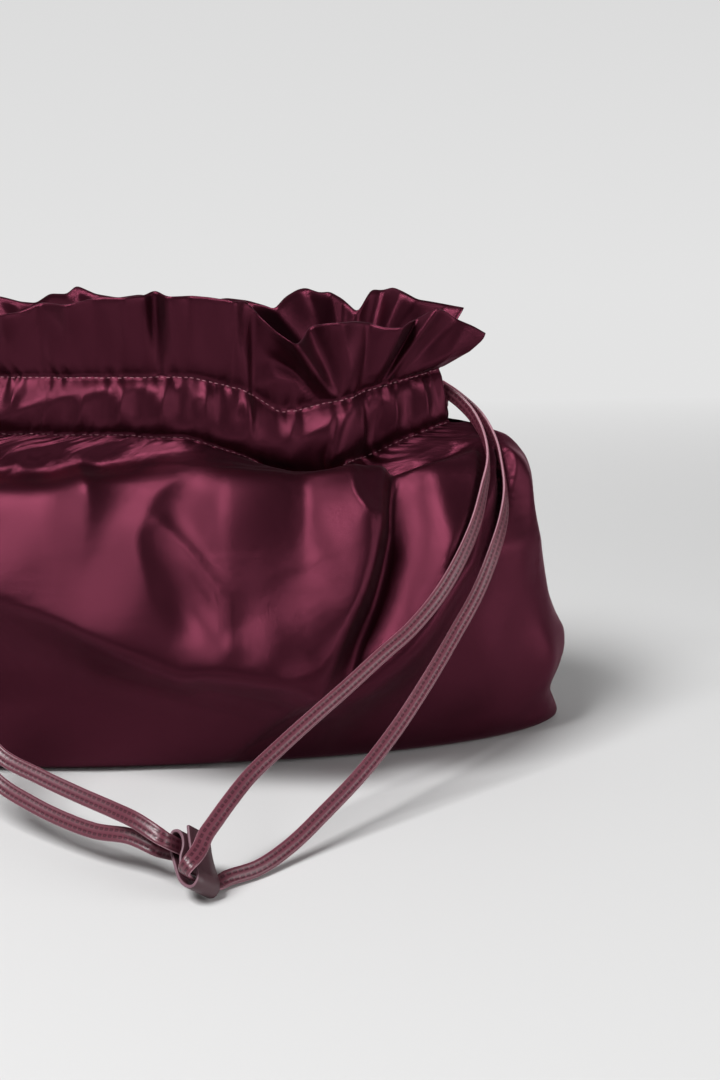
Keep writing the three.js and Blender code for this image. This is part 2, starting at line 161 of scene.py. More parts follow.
RIGHT_FAR = [
    (-6, -171.5, 3.6, -0.45, 0.5, 0.7), (5.3, -165, 3.7, -0.4, 0.4, 0.8), (18.2, -154, 6.6, -0.6, 0.4, 0.7),
    (33, -141, 13.8, -0.7, 0.4, 0.7), (49.3, -127, 23.3, -0.7, 0.3, 0.6), (65.6, -112, 35.7, -0.75, 0.3, 0.6),
    (80.8, -98, 50.6, -0.75, 0.3, 0.6), (94.7, -84, 65.6, -0.75, 0.25, 0.6),
    (107.1, -71, 79.8, -0.7, 0.2, 0.7), (116.5, -59, 94.2, -0.6, 0.1, 0.75),
    (122.9, -48, 105.8, -0.5, -0.1, 0.8), (126.1, -38, 116, -0.3, -0.3, 0.8),
    (126.4, -28.5, 126.5, -0.2, -0.4, 0.8), (125, -19, 136, 0, -0.4, 0.8),
    (120.5, -7.5, 145.5, 0.1, -0.2, 0.9), (112, 2, 153.5, 0, 0, 1), (104.5, 5.5, 158.5, 0, 0, 1),
]
LEFT_NEAR = [
    (-103.5, -6.2, 151.2, 0, 0, 1), (-110.5, -11, 149, 0, -0.1, 1), (-117, -18, 145, 0, -0.3, 0.9),
    (-122.5, -28.5, 137, 0.1, -0.4, 0.8), (-125, -40, 125, 0.2, -0.4, 0.8), (-124, -54, 110, 0.4, -0.2, 0.8),
    (-121, -68, 92, 0.5, 0.1, 0.8), (-115, -82, 72, 0.5, 0.2, 0.8), (-107, -94, 54, 0.5, 0.3, 0.8),
    (-99, -104, 41, 0.5, 0.4, 0.8), (-90.5, -113, 33, 0.5, 0.4, 0.8), (-74.5, -127, 28.7, 0.5, 0.4, 0.8),
    (-59.1, -141, 26, 0.5, 0.4, 0.8), (-46.1, -154, 24.7, 0.5, 0.4, 0.8), (-38, -164, 24.3, 0.5, 0.35, 0.8),
]
LEFT_FAR = [
    (-40.5, -157.5, 15.6, 0.4, 0.4, 0.85), (-53.8, -147, 14, 0.4, 0.4, 0.8),
    (-67.2, -135, 14.8, 0.4, 0.4, 0.8), (-79, -124, 17, 0.5, 0.4, 0.8), (-91.2, -112, 20.6, 0.5, 0.4, 0.8),
    (-103, -100, 29, 0.5, 0.4, 0.8), (-113, -88, 43, 0.5, 0.3, 0.8), (-121, -75, 62, 0.5, 0.2, 0.8),
    (-127, -61, 83, 0.5, 0, 0.8), (-130.8, -48, 103, 0.4, -0.2, 0.8), (-131.8, -36, 120.5, 0.2, -0.4, 0.8),
    (-131, -24.5, 134, 0.1, -0.4, 0.8), (-124.5, -10.5, 143.5, 0, -0.3, 0.9), (-112.5, 1.5, 149.5, 0, 0, 1),
]
RIGHT_IN_KEEPER = [
    (0.2, 4, 14.4, -0.6, 0.7, 0.25), (-2.6, 1.4, 10.6, -0.5, 0.8, 0.3), (-4.4, 0.6, 7.2, -0.3, 0.9, 0.25),
    (-3.4, 2, 4.9, -0.1, 1, 0.1), (0, 3.3, 3.9, 0, 1, 0), (6, 3.5, 3.7, 0, 1, 0),
    (11.5, 3.5, 4.1, 0, 1, 0.1), (15.5, 3.9, 5.8, -0.2, 0.9, 0.4),
]
LEFT_IN_KEEPER = [
    (-7, 15.8, 11, 0, 0.45, 0.9), (0, 15.6, 11, 0, 0.55, 0.83), (6, 15.6, 11, 0, 0.55, 0.83),
    (12, 15.7, 11, 0, 0.55, 0.83), (16, 17.4, 10.7, 0, 0.4, 0.9), (17.3, 20.4, 10.1, 0, 0.2, 1),
    (15.8, 23.4, 9.4, 0, 0.1, 1), (11.5, 24.8, 8.6, 0, 0, 1), (6, 24.6, 7.6, 0, 0, 1),
    (0, 23.7, 6.8, 0, 0, 1),
]

# Keeper: a strip of leather folded across its axis, as in the CAD model
KEEPER_PLACE = np.array([-21, -186, 7.7])
KEEPER_WIDTH = 12.0
KEEPER_THICKNESS = 1.2
KEEPER_HEADING = math.radians(33.7)
KEEPER_TILT = math.radians(37.6)
KEEPER_LINE = [
    (15.6, 19), (12.4, 15.9), (8.9, 12.8), (5.5, 10.3), (2.5, 8.3), (-0.4, 6.5), (-2.1, 4.3), (-1.9, 1.9),
    (0.2, 0.6), (5.3, 1.0), (11.3, 4.4), (17.5, 8.7), (20.6, 11.7), (21.5, 14.4), (19.2, 15.7),
    (15.6, 14.7), (12.7, 11.8), (11.3, 8.3), (8.4, 4.9),
]
keeper_axis = np.array([
    math.cos(KEEPER_TILT) * math.cos(KEEPER_HEADING),
    math.cos(KEEPER_TILT) * math.sin(KEEPER_HEADING),
    -math.sin(KEEPER_TILT)])
keeper_back = unit(np.cross((0, 0, 1), keeper_axis))
keeper_frame = np.array([keeper_axis, keeper_back, np.cross(keeper_axis, keeper_back)])


def in_keeper(points):
    """Places and width directions given in the keeper's own axes, turned into the part's."""
    points = np.array(points, float)
    return np.hstack([KEEPER_PLACE + points[:, :3] @ keeper_frame, points[:, 3:] @ keeper_frame])


def new_mesh(name, vertices, faces, materials, face_material=None, uvs=None):
    """A piece from vertices in millimetres and lists of faces, fixed to the part."""
    mesh = bpy.data.meshes.new(name)
    mesh.from_pydata((np.asarray(vertices) * MM).tolist(), [], faces)
    for material in materials:
        mesh.materials.append(material)
    if face_material is not None:
        mesh.polygons.foreach_set("material_index", np.asarray(face_material, np.int32))
    if uvs is not None:
        layer = mesh.uv_layers.new(name="cloth")
        loops = np.empty(len(mesh.loops), np.int32)
        mesh.loops.foreach_get("vertex_index", loops)
        layer.data.foreach_set("uv", np.asarray(uvs, np.float32)[loops].ravel())
    mesh.shade_smooth()
    mesh.update()
    piece = bpy.data.objects.new(name, mesh)
    bpy.context.scene.collection.objects.link(piece)
    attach(piece, "root")
    return piece


# Materials
def node_material(name):
    material = bpy.data.materials.new(name)
    material.use_nodes = True
    tree = material.node_tree
    return material, tree, tree.nodes["Principled BSDF"]


def add_node(tree, kind, **inputs):
    node = tree.nodes.new(kind)
    for key, value in inputs.items():
        node.inputs[key.replace("_", " ")].default_value = value
    return node


def mixed_colour(tree, factor, dark, light):
    mix = tree.nodes.new("ShaderNodeMix")
    mix.data_type = "RGBA"
    mix.inputs[6].default_value = (*dark, 1)
    mix.inputs[7].default_value = (*light, 1)
    tree.links.new(factor, mix.inputs[0])
    return mix.outputs[2]


def add_bump(tree, shader, height, strength, distance, before=None):
    bump = add_node(tree, "ShaderNodeBump", Strength=strength, Distance=distance)
    tree.links.new(height, bump.inputs["Height"])
    if before is not None:
        tree.links.new(before, bump.inputs["Normal"])
    tree.links.new(bump.outputs[0], shader.inputs["Normal"])
    return bump.outputs[0]


def satin_material(name, dark, light, metallic, roughness):
    """Satin: a tinted soft shine, faint warp lines along the cloth and broad uneven tone."""
    material, tree, shader = node_material(name)
    where = tree.nodes.new("ShaderNodeTexCoord")
    tone = add_node(tree, "ShaderNodeTexNoise", Scale=26.0, Detail=3.0)
    tree.links.new(where.outputs["Object"], tone.inputs["Vector"])
    tree.links.new(mixed_colour(tree, tone.outputs[0], dark, light), shader.inputs["Base Color"])
    weave = add_node(tree, "ShaderNodeTexWave", Scale=700.0, Distortion=1.5, Detail=2.0)
    tree.links.new(where.outputs["UV"], weave.inputs["Vector"])
    first = add_bump(tree, shader, weave.outputs[1], 0.18, 0.0002)
    slub = add_node(tree, "ShaderNodeTexNoise", Scale=420.0, Detail=2.0)
    tree.links.new(where.outputs["Object"], slub.inputs["Vector"])
    add_bump(tree, shader, slub.outputs[0], 0.12, 0.0003, first)
    shader.inputs["Metallic"].default_value = metallic
    shader.inputs["Roughness"].default_value = roughness
    shader.inputs["Specular IOR Level"].default_value = 0.25
    shader.inputs["Specular Tint"].default_value = (0.78, 0.48, 0.56, 1)
    shader.inputs["Sheen Weight"].default_value = 0.05
    shader.inputs["Sheen Roughness"].default_value = 0.4
    shader.inputs["Sheen Tint"].default_value = (0.9, 0.6, 0.68, 1)
    return material


def worked_out(tree, operation, first, second=None):
    """The result of a maths node. The second value is a number or another node's output."""
    node = tree.nodes.new("ShaderNodeMath")
    node.operation = operation
    tree.links.new(first, node.inputs[0])
    if isinstance(second, bpy.types.NodeSocket):
        tree.links.new(second, node.inputs[1])
    elif second is not None:
        node.inputs[1].default_value = second
    return node.outputs[0]


# Where a stitch's hollow and the shade painted into it start and are full: in shares of the pitch from the
# stitch's middle, and in millimetres from its row
HOLLOW_ALONG = (0.38, 0.28)
HOLLOW_ACROSS = (0.75, 0.35)
# Painted shade: the dark colour laid into the stitch hollows
HOLLOW_SHADE_COLOUR = (0.042, 0.005, 0.013)


def sunk_rows(tree, where):
    """1 where a strap's stitch sinks in, the mask for its dent and its painted shade: its UV map counts
    stitches along it and millimetres across.
    """
    parts = tree.nodes.new("ShaderNodeSeparateXYZ")
    tree.links.new(where.outputs["UV"], parts.inputs[0])
    turn = worked_out(tree, "FRACT", worked_out(tree, "ADD", parts.outputs[0], 0.5))
    from_middle = worked_out(tree, "ABSOLUTE", worked_out(tree, "SUBTRACT", turn, 0.5))
    along = add_node(tree, "ShaderNodeMapRange", From_Min=HOLLOW_ALONG[0], From_Max=HOLLOW_ALONG[1])
    tree.links.new(from_middle, along.inputs[0])
    from_row = worked_out(tree, "SUBTRACT", worked_out(tree, "ABSOLUTE", parts.outputs[1]), STITCH_ROW)
    across = add_node(tree, "ShaderNodeMapRange", From_Min=HOLLOW_ACROSS[0], From_Max=HOLLOW_ACROSS[1])
    tree.links.new(worked_out(tree, "ABSOLUTE", from_row), across.inputs[0])
    return worked_out(tree, "MULTIPLY", along.outputs[0], across.outputs[0])


def leather_material(name, dark, light, roughness, grain, stitched=False):
    """Leather: fine pebbled grain with slightly uneven colour and gloss. Stitched leather also has its stitch
    hollows dented and darkened with painted shade.
    """
    material, tree, shader = node_material(name)
    where = tree.nodes.new("ShaderNodeTexCoord")
    tone = add_node(tree, "ShaderNodeTexNoise", Scale=90.0, Detail=4.0)
    tree.links.new(where.outputs["Object"], tone.inputs["Vector"])
    colour = mixed_colour(tree, tone.outputs[0], dark, light)
    pebbles = add_node(tree, "ShaderNodeTexVoronoi", Scale=1500.0)
    tree.links.new(where.outputs["Object"], pebbles.inputs["Vector"])
    first = add_bump(tree, shader, pebbles.outputs[0], grain, 0.0002)
    creases = add_node(tree, "ShaderNodeTexNoise", Scale=500.0, Detail=4.0)
    tree.links.new(where.outputs["Object"], creases.inputs["Vector"])
    first = add_bump(tree, shader, creases.outputs[0], 0.15, 0.0003, first)
    if stitched:
        sunk = sunk_rows(tree, where)
        # painted shade: the stitch hollows are darkened in colour, on top of the dent from the bump below
        hollow_shade = mixed_colour(tree, sunk, dark, HOLLOW_SHADE_COLOUR)
        tree.links.new(colour, hollow_shade.node.inputs[6])
        colour = hollow_shade
        add_bump(tree, shader, worked_out(tree, "SUBTRACT", sunk, 1.0), -0.6, 0.0004, first)
    tree.links.new(colour, shader.inputs["Base Color"])
    shader.inputs["Roughness"].default_value = roughness
    shader.inputs["Specular IOR Level"].default_value = 0.55
    return material


satin = satin_material(
    "satin_cloth", (0.055, 0.0095, 0.019), (0.071, 0.013, 0.025), metallic=0.86, roughness=0.35)
lining_cloth = satin_material(
    "lining_cloth", (0.10, 0.02, 0.038), (0.13, 0.03, 0.05), metallic=0.1, roughness=0.6)
thread = leather_material("thread", (0.30, 0.10, 0.14), (0.38, 0.15, 0.19), roughness=0.55, grain=0.05)
strap_leather = leather_material(
    "strap_leather", (0.11, 0.024, 0.04), (0.145, 0.036, 0.055), roughness=0.36, grain=0.15, stitched=True)
strap_thread = leather_material(
    "strap_thread", (0.11, 0.009, 0.026), (0.14, 0.014, 0.034), roughness=0.6, grain=0.05)
cut_edge = leather_material("cut_edge", (0.33, 0.14, 0.185), (0.44, 0.22, 0.27), roughness=0.55, grain=0.1)
keeper_leather = leather_material(
    "keeper_leather", (0.055, 0.018, 0.026), (0.075, 0.026, 0.035), roughness=0.45, grain=0.06)
keeper_rim = leather_material("keeper_rim", (0.16, 0.075, 0.10), (0.22, 0.11, 0.14), roughness=0.45, grain=0.1)


# Folds of the front, read off the photograph: rows of (u, level, height), then the width on the right
# or upper side, the width on the left or lower side, and how round the fold is
FRONT_FOLDS = [
    ([(-0.37, 5.1, 2), (-0.245, 4.75, 4), (-0.142, 4.3, 5), (-0.057, 3.9, 4)], 22, 8, 1.4),
    ([(-0.057, 3.9, 3), (-0.017, 4.0, 4), (0.038, 3.85, 5), (0.095, 3.9, 2)], 15, 5, 1.4),
    ([(-0.44, 4.5, -4), (-0.26, 3.9, -8), (-0.1, 3.3, -6)], 24, 28, 2.0),
    ([(-0.005, 8.55, 1), (-0.062, 7.43, 2), (-0.098, 6.62, 2.8), (-0.115, 5.98, 3.2), (-0.095, 5.2, 2.8),
      (-0.075, 4.7, 2), (-0.057, 4.3, 1.5)], 9, 14, 1.4),
    ([(-0.08, 6.28, 1.5), (-0.037, 5.68, 2.5), (-0.007, 5.0, 2.5), (-0.002, 4.3, 2)], 5, 6, 1.5),
    ([(0.268, 8.47, 2), (0.2, 6.95, 4), (0.208, 6.3, 4), (0.232, 6.2, 2)], 5, 9, 1.3),
    ([(0.32, 8.43, 4), (0.262, 6.9, 9), (0.235, 6.1, 11), (0.193, 5.23, 11), (0.153, 4.55, 10),
      (0.125, 4.03, 8), (0.095, 3.38, 4)], 6, 38, 1.3),
    ([(0.4, 9.08, -3), (0.298, 6.9, -8), (0.268, 5.88, -10), (0.22, 4.85, -9), (0.177, 3.98, -7),
      (0.15, 3.08, -3)], 8, 6, 1.5),
    ([(0.56, 7.2, 3), (0.5, 6.53, 6), (0.383, 5.45, 8), (0.295, 4.45, 8), (0.213, 3.73, 6),
      (0.15, 3.08, 3)], 12, 34, 1.8),
    ([(0.35, 7.43, 3), (0.453, 7.58, 5), (0.565, 7.98, 5), (0.71, 8.7, 3)], 7, 11, 1.4),
    ([(0.42, 8.3, -2), (0.56, 8.7, -4), (0.7, 9.1, -2)], 7, 8, 1.6),
    ([(-0.547, 9.6, 2), (-0.44, 8.97, 4), (-0.422, 8.38, 4), (-0.443, 7.98, 2)], 7, 9, 1.4),
    ([(-0.3, 9.4, 2), (-0.27, 8.2, 4), (-0.21, 7.0, 3), (-0.2, 6.0, 1)], 7, 12, 1.4),
    ([(-0.8, 8.7, -5), (-0.6, 8.4, -8), (-0.4, 8.3, -9), (-0.26, 8.5, -7), (-0.12, 8.9, -2)], 9, 11, 1.8),
    ([(-0.66, 9.2, 2), (-0.6, 7.4, 5), (-0.5, 6.2, 4), (-0.4, 5.3, 3)], 10, 16, 1.5),
    ([(-0.8, 8.8, 2), (-0.78, 6.6, 4), (-0.72, 4.8, 2)], 9, 16, 1.6),
    ([(0.62, 9.2, 2), (0.7, 7.8, 4), (0.74, 6.2, 3), (0.72, 4.8, 1)], 9, 12, 1.5),
    ([(0.86, 8.4, 2), (0.87, 6.5, 3), (0.88, 4.6, 2.5), (0.9, 2.8, 1)], 6, 9, 1.4),
    ([(0.9, 1.7, -1), (0.97, 1.5, -3)], 6, 6, 1.6),
    ([(0.04, 8.7, 1), (0.01, 7.4, 3), (0.0, 6.2, 3.5), (0.005, 5.2, 3), (0.02, 4.6, 1.5)], 26, 13, 1.5),
    ([(0.14, 8.9, -1), (0.13, 7.8, -2.5), (0.12, 6.6, -2), (0.1, 5.4, -0.5)], 9, 9, 1.6),
    # the pinch beside the diamond pleat, the pleat itself, and the ruffle's overlap and crease
    ([(0.57, 12.3, -2), (0.56, 11.4, -5), (0.555, 10.4, -6), (0.47, 9.5, -6), (0.4, 9.08, -4)], 5, 5, 1.6),
    ([(0.47, 11.9, 2), (0.45, 11.2, 3), (0.44, 10.4, 3), (0.43, 10.0, 2)], 8, 8, 2.2),
    ([(0.44, 11.7, -2), (0.4, 10.9, -3), (0.375, 10.4, -3), (0.4, 9.9, -2)], 3, 2.5, 1.4),
    ([(0.105, 11.2, 2), (0.095, 12.4, 5), (0.08, 14, 6)], 12, 1.6, 1.3),
    ([(-0.2, 12.0, -1.5), (-0.19, 13, -2), (-0.17, 14, -2)], 2.5, 3.5, 1.3),
]
BACK_FOLDS = [
    ([(-0.62, 9.3, 2), (-0.5, 7.6, 5), (-0.42, 6.0, 5), (-0.36, 4.6, 3)], 10, 16, 1.5),
    ([(-0.36, 9.4, 2), (-0.26, 7.8, 5), (-0.24, 6.2, 5), (-0.28, 4.8, 2)], 8, 14, 1.4),
    ([(-0.1, 9.4, 2), (-0.12, 7.8, 5), (-0.06, 6.0, 6), (0.02, 4.4, 4), (0.08, 3.6, 2)], 14, 8, 1.4),
    ([(0.02, 8.8, -3), (0.0, 7.2, -7), (0.06, 5.6, -6), (0.14, 4.2, -2)], 8, 8, 1.6),
    ([(0.2, 9.4, 3), (0.17, 7.9, 6), (0.2, 6.4, 6), (0.3, 5.0, 4), (0.38, 4.2, 2)], 9, 16, 1.4),
    ([(0.44, 9.3, 2), (0.42, 7.8, 5), (0.5, 6.4, 4), (0.6, 5.2, 2)], 8, 13, 1.5),
    ([(-0.1, 4.3, 3), (0.1, 3.9, 5), (0.3, 4.1, 5), (0.5, 4.7, 3)], 9, 24, 1.5),
    ([(0.7, 9.2, 2), (0.74, 7.4, 4), (0.8, 5.6, 3)], 9, 13, 1.5),
    ([(-0.8, 9.0, 2), (-0.76, 7.0, 4), (-0.7, 5.0, 3)], 9, 14, 1.5),
    ([(-0.5, 4.0, -3), (-0.3, 3.7, -6), (-0.1, 3.2, -3)], 22, 22, 2.0),
]

# The ruffle's top edge: rows of (x, rise, step out)
FRONT_EDGE = np.array([
    (-126, -4, 0), (-110, -5, 3), (-100, -6, -2), (-89, -8, 3), (-82, -8, -1), (-74, -5, -4), (-62, -4, 3),
    (-50, -2, -1), (-38, -1, 3), (-30, -1, 1), (-25, 0, -4), (-20, -1, 2), (-10, -1, 0), (-2, -1, 3),
    (8, -2, 4), (13, -3, -4), (18, -9, 1), (26, -16, 5), (33, -20, 10), (38, -19, 1), (41, -16, -4),
    (47, -13, 2), (53, -12, 5), (60, -13, 0), (68, -15, -5), (74, -16, 1), (80, -15, 5), (85, -14, 0),
    (91, -15, -6), (96, -7, 4), (101, -9, 2), (107, -13, 1), (113, -15, 5), (118, -18, 8), (126, -20, 9),
], float)
BACK_EDGE = np.array([
    (-126, -6, 0), (-104, -4, 4), (-94, -3, 4), (-86, -7, -3), (-79, -8, -5), (-72, -3, 1), (-64, -3, 4),
    (-60, 1, 5), (-52, -4, -3), (-42, -6, -5), (-32, -4, 2), (-22, -5, 5), (-12, -7, -2), (-2, -8, -5),
    (8, -6, 2), (18, -7, 5), (26, -10, -2), (30, -12, -5), (35, -6, 0), (41, -2, 5), (45, -1, 6), (51, -4, 0),
    (56, -4, -4), (62, -7, -1), (69, -14, -5), (75, -2, 3), (80, -2, 6), (85, -1, 3), (90, -4, -3),
    (97, -8, -5), (110, -9, 2), (126, -12, 0),
], float)
# How far the casing's two rows hang down: rows of (u, drop of the upper row, drop of the lower row)
FRONT_SAG = np.array([
    (-1, 0, 0), (-0.3, 0, 0), (-0.09, 0, -2), (0.09, -5, -11), (0.16, -11, -16), (0.22, -16, -18),
    (0.3, -15, -20), (0.38, -12.5, -20), (0.5, -10, -13), (0.7, -5, -6), (0.9, -1, -1), (1, 0, 0),
], float)
BACK_SAG = np.array([
    (-1, 0, 0), (-0.5, -3, -5), (-0.2, -2, -2), (0.1, -4, -7), (0.4, -4, -5), (1, 0, 0),
], float)
# The line where the slack body folds over: rows of (u, level, height)
FRONT_BELLY = np.array([
    (-1, 5.4, 0), (-0.86, 5.5, 3), (-0.6, 5.5, 6), (-0.37, 5.1, 8.5), (-0.245, 4.75, 9.5), (-0.142, 4.3, 10),
    (-0.057, 3.95, 10), (0.038, 3.9, 10), (0.095, 3.65, 10), (0.15, 3.3, 10), (0.213, 3.8, 9),
    (0.295, 4.35, 8), (0.383, 5.2, 7), (0.5, 5.5, 5), (0.7, 5.6, 3), (0.86, 5.4, 1), (1, 5.3, 0),
], float)
BACK_BELLY = np.array([
    (-1, 5.2, 0), (-0.8, 5.4, 3), (-0.5, 4.7, 6), (-0.3, 4.1, 8), (-0.1, 4.2, 8), (0.1, 4.7, 8),
    (0.3, 4.3, 8), (0.5, 4.0, 7), (0.7, 4.9, 4), (0.86, 5.4, 2), (1, 5.3, 0),
], float)


# How far each end of the body is drawn in, or stands out, along X: rows of (level, step out)
END_SHAPE = np.array([
    (0, 0), (0.7, 0), (1.2, -3), (2.2, -8), (2.8, -6.5), (3.5, -3.5), (4.4, -6.5), (5.3, -7), (6.2, -5.5),
    (7.4, -2.5), (9, 0), (9.6, 0.5), (10.3, 3), (11.8, 3), (12.4, 1), (14, 0),
], float)
FOLDS = {FRONT: FRONT_FOLDS, BACK: BACK_FOLDS}
EDGE = {FRONT: FRONT_EDGE, BACK: BACK_EDGE}
SAG = {FRONT: FRONT_SAG, BACK: BACK_SAG}
BELLY = {FRONT: FRONT_BELLY, BACK: BACK_BELLY}
SEED = {FRONT: 1.0, BACK: 2.0}

EASE_STEPS = 600
EASE_REACH = 7


def eased(rows, column, at):
    """A column of control rows against their first one, with rounded corners."""
    fine = np.linspace(rows[0, 0], rows[-1, 0], EASE_STEPS)
    value = np.interp(fine, rows[:, 0], rows[:, column])
    kernel = np.hanning(2 * EASE_REACH + 1)
    value = np.convolve(np.pad(value, EASE_REACH, mode="edge"), kernel / kernel.sum(), mode="valid")
    return np.interp(at, fine, value)


TURN_MIX = (12.9898, 78.233, 437.58)
DRIFT_MIX = (39.425, 11.135, 173.51)


def scattered(seed, k, mix):
    """An uneven share between -1 and 1, the same each run."""
    return math.modf(math.sin(seed * mix[0] + k * mix[1]) * mix[2])[0]


def waves(u, level, seed, count, pace):
    """Uneven smooth waves along u, a different set for each seed."""
    total = 0
    for k in range(count):
        turn = scattered(seed, k, TURN_MIX)
        drift = scattered(seed, k, DRIFT_MIX)
        total = total + np.sin(2 * np.pi * (pace * (1 + 0.37 * k) * u + turn + drift * 0.22 * level))
    return total / count ** 0.5


FOLD_STEPS = 16
FOLD_MARGIN = 2.6
FOLD_SIDE_BLEND = 2.5
FOLD_CREST_SOFTNESS = 0.8


def fold_relief(side, places, normals):
    """Sum of the folds' heights at places of the wall."""
    flat = places.reshape(-1, 3)
    n_flat = normals.reshape(-1, 3)
    out = np.zeros(len(flat))
    for rows, right, left, roundness in FOLDS[side]:
        dense = spline(rows, np.linspace(0, len(rows) - 1, FOLD_STEPS * len(rows)))
        line = wall(side, dense[:, 0], dense[:, 1])
        tangent = unit(np.gradient(line, axis=0))
        margin = FOLD_MARGIN * max(right, left)
        near = np.all((flat > line.min(0) - margin) & (flat < line.max(0) + margin), axis=1).nonzero()[0]
        if not len(near):
            continue
        best = np.argmin(((flat[near, None] - line[None]) ** 2).sum(-1), axis=1)
        offset = flat[near] - line[best]
        turned = (offset * np.cross(n_flat[near], tangent[best])).sum(-1) * -side
        blend = 0.5 + 0.5 * np.tanh(turned / FOLD_SIDE_BLEND)
        width = left + (right - left) * blend
        distance = np.linalg.norm(offset, axis=1)
        soft = np.sqrt(distance ** 2 + FOLD_CREST_SOFTNESS)
        out[near] += dense[best, 2] * np.exp(-(soft / width) ** roundness)
    return out.reshape(places.shape[:-1])


# The ruffle's pleats fan out from this X: their pitch at the stitch row against that at the top edge,
# where along X the fan begins, and the ruffle's end
FAN_MIDDLE = 63.0
FAN_PITCH_LOW, FAN_PITCH_GAIN = 0.34, 0.66
FAN_FROM, FAN_LENGTH = 12, 26
RUFFLE_END = 126


def fanned(x, up):
    """Where a pleat that starts at x and this share of the ruffle's height meets the top edge."""
    spread = FAN_MIDDLE + (x - FAN_MIDDLE) / (FAN_PITCH_LOW + FAN_PITCH_GAIN * up)
    share = smooth_step((x - FAN_FROM) / FAN_LENGTH)
    return np.clip(x + (spread - x) * share, -RUFFLE_END, RUFFLE_END)


# The slack body's fold: its height, and above and below its line its reach in levels and its sharpness
BELLY_HEIGHT = {FRONT: 1.8, BACK: 1.3}
BELLY_REACH = (1.25, 0.8)
BELLY_SHARPNESS = (1.05, 1.25)
BELLY_ROUNDING = 0.006


def belly_relief(side, u, level):
    """The slack body slopes out to a fold that it hangs over, and turns under it."""
    above = level - eased(BELLY[side], 1, u)
    reach = np.where(above > 0, *BELLY_REACH)
    sharpness = np.where(above > 0, *BELLY_SHARPNESS)
    height = BELLY_HEIGHT[side] * eased(BELLY[side], 2, u)
    return height * np.exp(-(np.sqrt(above ** 2 + BELLY_ROUNDING) / reach) ** sharpness)


GATHER_HEIGHT = 0.45
GATHER_LEVEL = 9.7
GATHER_ABOVE_SHARE = 0.9
GATHER_FADE = 0.3


def gather_relief(u, level, seed):
    """Gathers that fan down from the casing."""
    below = np.exp(-(level - GATHER_LEVEL) ** 2) * (level < LOW_ROW)
    above = GATHER_ABOVE_SHARE * (level >= LOW_ROW) * np.exp(-(level - LOW_ROW) / GATHER_FADE)
    return GATHER_HEIGHT * (below + above) * waves(u, level, seed, count=3, pace=4.0)


CASING_PUFF = 5.0
CASING_CREASES = 2.6


def casing_relief(u, level, seed):
    """The casing puffs out between its rows, with creases across it."""
    puff = np.sin(np.pi * casing_share(level)) ** 0.6
    creases = 0.5 - np.abs(waves(u + 0.03 * level, level * 1.6, seed + 7, count=2, pace=2.9))
    return puff * (CASING_PUFF + CASING_CREASES * creases)


BODY_FOLD_GAIN = 1.2
END_FADE = 9
RIGHT_GATHERS_FROM, RIGHT_GATHER_SHARE = 0.45, 0.5
PUCKER_HEIGHT = 0.45
PUCKER_LEVELS = 0.3
ROW_DEPTH = 2.0
ROW_LEVELS = 0.2
EDGE_GAIN = 1.15
PLEATS_MIDWAY, PLEATS_AT_EDGE = 0.55, 0.3
SLACK_HEIGHT = 0.55


def relief(side, u, level, places, normals):
    """How far the cloth stands out from the plain wall."""
    seed = SEED[side]
    inside_ends = np.clip((1 - np.abs(u)) * END_FADE, 0, 1)
    out = np.where(level < LOW_ROW, BODY_FOLD_GAIN, 1.0) * fold_relief(side, places, normals)
    out = out * np.where(level < SHOULDER, inside_ends, 1)
    out = out + belly_relief(side, u, level)
    fewer = np.where(u > RIGHT_GATHERS_FROM, RIGHT_GATHER_SHARE, 1)
    out = out + gather_relief(u, level, seed) * inside_ends * fewer
    # puckers at the two stitch rows, which are drawn in
    for row, at in enumerate((LOW_ROW, HIGH_ROW)):
        near = np.exp(-(np.abs(level - at) / PUCKER_LEVELS) ** 1.5)
        drawn = np.exp(-(np.abs(level - at) / ROW_LEVELS) ** 1.3)
        puckers = waves(u, level * 0.3, seed + 3 + row, count=3, pace=13.0)
        out = out + PUCKER_HEIGHT * near * puckers * inside_ends - ROW_DEPTH * drawn
    out = out + casing_relief(u, level, seed) * (0.35 + 0.65 * inside_ends)
    # the ruffle's own edge and its pleats
    up = ruffle_share(level)
    out = out + up * eased(EDGE[side], 2, fanned(places[..., 0], up)) * EDGE_GAIN
    pleats = np.sin(np.pi * up) * PLEATS_MIDWAY + PLEATS_AT_EDGE * up
    out = out + pleats * waves(u, level, seed + 11, count=3, pace=4.0) * inside_ends
    # slack in the body cloth
    slack = np.clip(level - 1, 0, 1) * np.clip((LOW_ROW - level) / 2, 0, 1)
    return out + SLACK_HEIGHT * slack * waves(u, level * 2.3, seed + 17, count=3, pace=3.1) * inside_ends


SAG_FROM = 6.8
SAG_LEVELS = 3.0


def hang(side, u, level, x):
    """How far the cloth hangs below the plain wall, or stands above it."""
    between = casing_share(level)
    sag = eased(SAG[side], 2, u) * (1 - between) + eased(SAG[side], 1, u) * between
    share = smooth_step((level - SAG_FROM) / SAG_LEVELS)
    up = ruffle_share(level)
    return sag * share * (1 - up) + eased(EDGE[side], 1, fanned(x, up)) * up


